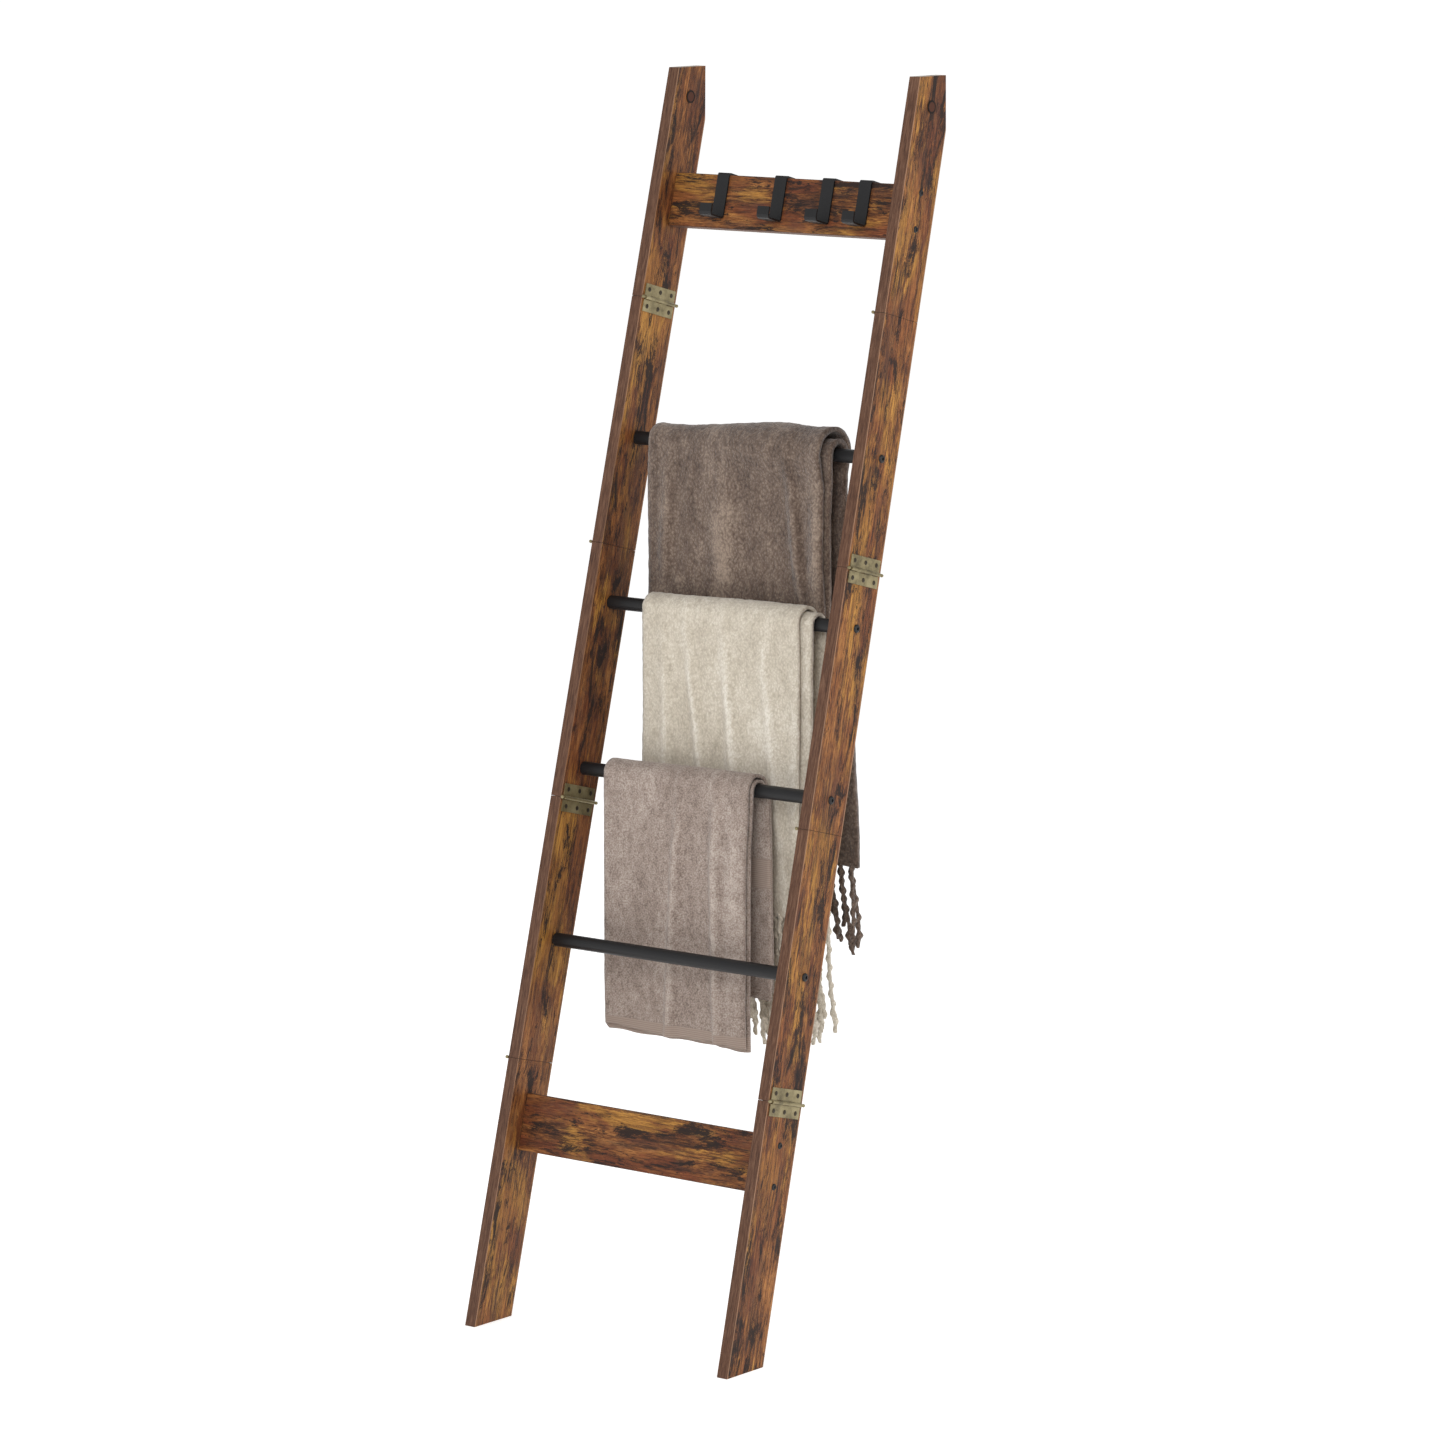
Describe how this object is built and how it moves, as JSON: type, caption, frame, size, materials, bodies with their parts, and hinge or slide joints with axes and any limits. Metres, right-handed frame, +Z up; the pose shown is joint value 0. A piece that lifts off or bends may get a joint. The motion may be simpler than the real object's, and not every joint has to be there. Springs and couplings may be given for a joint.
{
  "type": "leaning blanket ladder with throws",
  "caption": "Rustic wood-look leaning blanket ladder with hinged plank rails, black tube rungs and sliding hooks, hung with plush throws and a bath towel.",
  "frame": {"origin": "on the floor, under the middle of the ladder's bounding box", "axes": "+X to the right seen from the front, +Y back towards the wall, +Z up"},
  "size_m": [0.4878, 0.5252, 1.8],
  "materials": {
    "wood": "rustic brown foil with a matte grain",
    "black_steel": "matte black powder coat",
    "antique_bronze": "antique, satin",
    "brown_cap": "matte",
    "dark_plush": "dark brown plush pile",
    "cream_plush": "cream plush pile",
    "taupe_terry": "taupe terry loops with a flat woven border"
  },
  "bodies": {
    "ladder": {"board_bottom": "wood", "board_top": "wood", "cover_cap_left": "brown_cap", "cover_cap_right": "brown_cap", "hinge_left_1_lower_leaf": "antique_bronze", "hinge_left_1_pin": "antique_bronze", "hinge_left_1_upper_leaf": "antique_bronze", "hinge_left_2_lower_leaf": "antique_bronze", "hinge_left_2_pin": "antique_bronze", "hinge_left_2_upper_leaf": "antique_bronze", "hinge_left_3_lower_leaf": "antique_bronze", "hinge_left_3_pin": "antique_bronze", "hinge_left_3_upper_leaf": "antique_bronze", "hinge_left_4_lower_leaf": "antique_bronze", "hinge_left_4_pin": "antique_bronze", "hinge_left_4_upper_leaf": "antique_bronze", "hinge_right_1_lower_leaf": "antique_bronze", "hinge_right_1_pin": "antique_bronze", "hinge_right_1_upper_leaf": "antique_bronze", "hinge_right_2_lower_leaf": "antique_bronze", "hinge_right_2_pin": "antique_bronze", "hinge_right_2_upper_leaf": "antique_bronze", "hinge_right_3_lower_leaf": "antique_bronze", "hinge_right_3_pin": "antique_bronze", "hinge_right_3_upper_leaf": "antique_bronze", "hinge_right_4_lower_leaf": "antique_bronze", "hinge_right_4_pin": "antique_bronze", "hinge_right_4_upper_leaf": "antique_bronze", "rail_left_section_1": "wood", "rail_left_section_2": "wood", "rail_left_section_3": "wood", "rail_left_section_4": "wood", "rail_left_section_5": "wood", "rail_right_section_1": "wood", "rail_right_section_2": "wood", "rail_right_section_3": "wood", "rail_right_section_4": "wood", "rail_right_section_5": "wood", "rung_high": "black_steel", "rung_low": "black_steel", "rung_mid_high": "black_steel", "rung_mid_low": "black_steel", "screw_rung_high_left": "black_steel", "screw_rung_high_right": "black_steel", "screw_rung_low_left": "black_steel", "screw_rung_low_right": "black_steel", "screw_rung_mid_high_left": "black_steel", "screw_rung_mid_high_right": "black_steel", "screw_rung_mid_low_left": "black_steel", "screw_rung_mid_low_right": "black_steel", "throw_cream": "cream_plush", "throw_dark": "dark_plush", "towel": "taupe_terry"},
    "hook_a_body": {"hook_a": "black_steel"},
    "hook_b_body": {"hook_b": "black_steel"},
    "hook_c_body": {"hook_c": "black_steel"},
    "hook_d_body": {"hook_d": "black_steel"}
  },
  "joints": [
    {"name": "hook_a_slide", "type": "slide", "parent": "ladder", "child": "hook_a_body", "axis": [1, 0, 0], "range_m": [-0.075, 0.04]},
    {"name": "hook_b_slide", "type": "slide", "parent": "ladder", "child": "hook_b_body", "axis": [1, 0, 0], "range_m": [-0.043, 0.03]},
    {"name": "hook_c_slide", "type": "slide", "parent": "ladder", "child": "hook_c_body", "axis": [1, 0, 0], "range_m": [-0.03, 0.02]},
    {"name": "hook_d_slide", "type": "slide", "parent": "ladder", "child": "hook_d_body", "axis": [1, 0, 0], "range_m": [-0.02, 0.058]}
  ]
}
